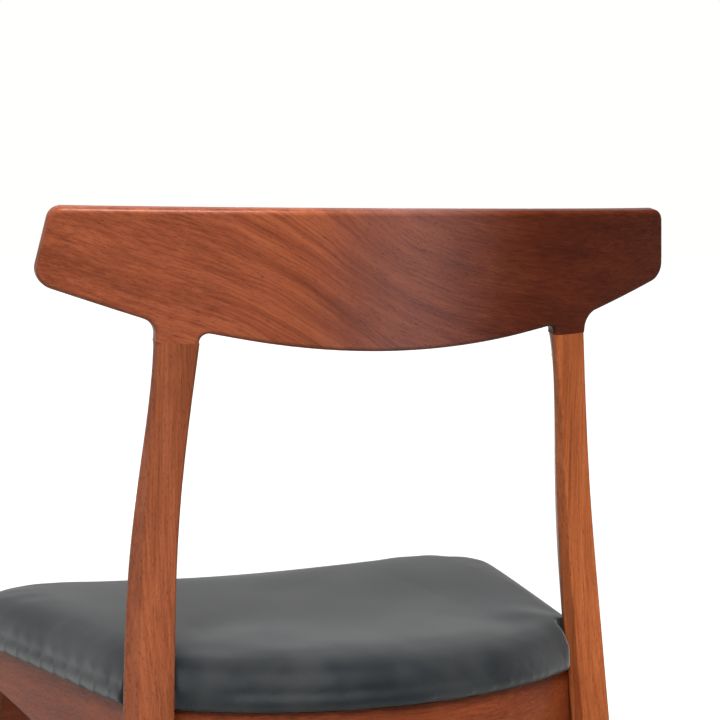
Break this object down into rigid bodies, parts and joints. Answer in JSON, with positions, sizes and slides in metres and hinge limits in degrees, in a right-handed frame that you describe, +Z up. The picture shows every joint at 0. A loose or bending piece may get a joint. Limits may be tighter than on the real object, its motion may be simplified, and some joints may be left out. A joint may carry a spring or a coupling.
{
  "type": "dining chair",
  "caption": "Side chair for a dining table: curved crest backrest on sabre rear legs, tapered round front legs, shaped rails and a dark padded leather seat",
  "frame": {"origin": "on the floor under the middle of the chair", "axes": "+Z up, the sitter faces -Y, +X is the sitter's left"},
  "size_m": [0.503, 0.412, 0.7708],
  "materials": {
    "crest_wood": "oiled teak, satin, worn at the edges",
    "leg_wood": "oiled teak, satin",
    "rail_wood": "oiled teak, satin",
    "dowel_wood": "plain beech",
    "block_wood": "sawn beech, unfinished",
    "plywood": "sanded plywood",
    "seat_leather": "black upholstery leather, satin",
    "foam": "open-cell upholstery foam",
    "dust_cloth": "woven black underside cloth",
    "steel": "zinc-plated",
    "glide": "moulded, matt"
  },
  "bodies": {
    "root": {"backrest": "crest_wood", "backrest_dowels_left": "dowel_wood", "backrest_dowels_right": "dowel_wood", "rear_leg_left": "leg_wood", "rear_leg_right": "leg_wood", "front_leg_left": "leg_wood", "front_leg_right": "leg_wood", "side_rail_left": "rail_wood", "side_rail_right": "rail_wood", "front_rail": "rail_wood", "rear_rail": "rail_wood", "side_rail_dowels_left": "dowel_wood", "side_rail_dowels_right": "dowel_wood", "front_rail_dowels": "dowel_wood", "rear_rail_dowels": "dowel_wood", "front_corner_block_left": "block_wood", "front_corner_block_right": "block_wood", "rear_corner_block_left": "block_wood", "rear_corner_block_right": "block_wood", "corner_block_screws": "steel", "seat_screws": "steel", "seat_board": "plywood", "seat_foam": "foam", "seat_cover": "seat_leather", "seat_dust_cloth": "dust_cloth", "cover_staples": "steel", "front_glide_left": "glide", "front_glide_right": "glide", "rear_glide_left": "glide", "rear_glide_right": "glide", "glide_nails": "steel"}
  },
  "joints": []
}
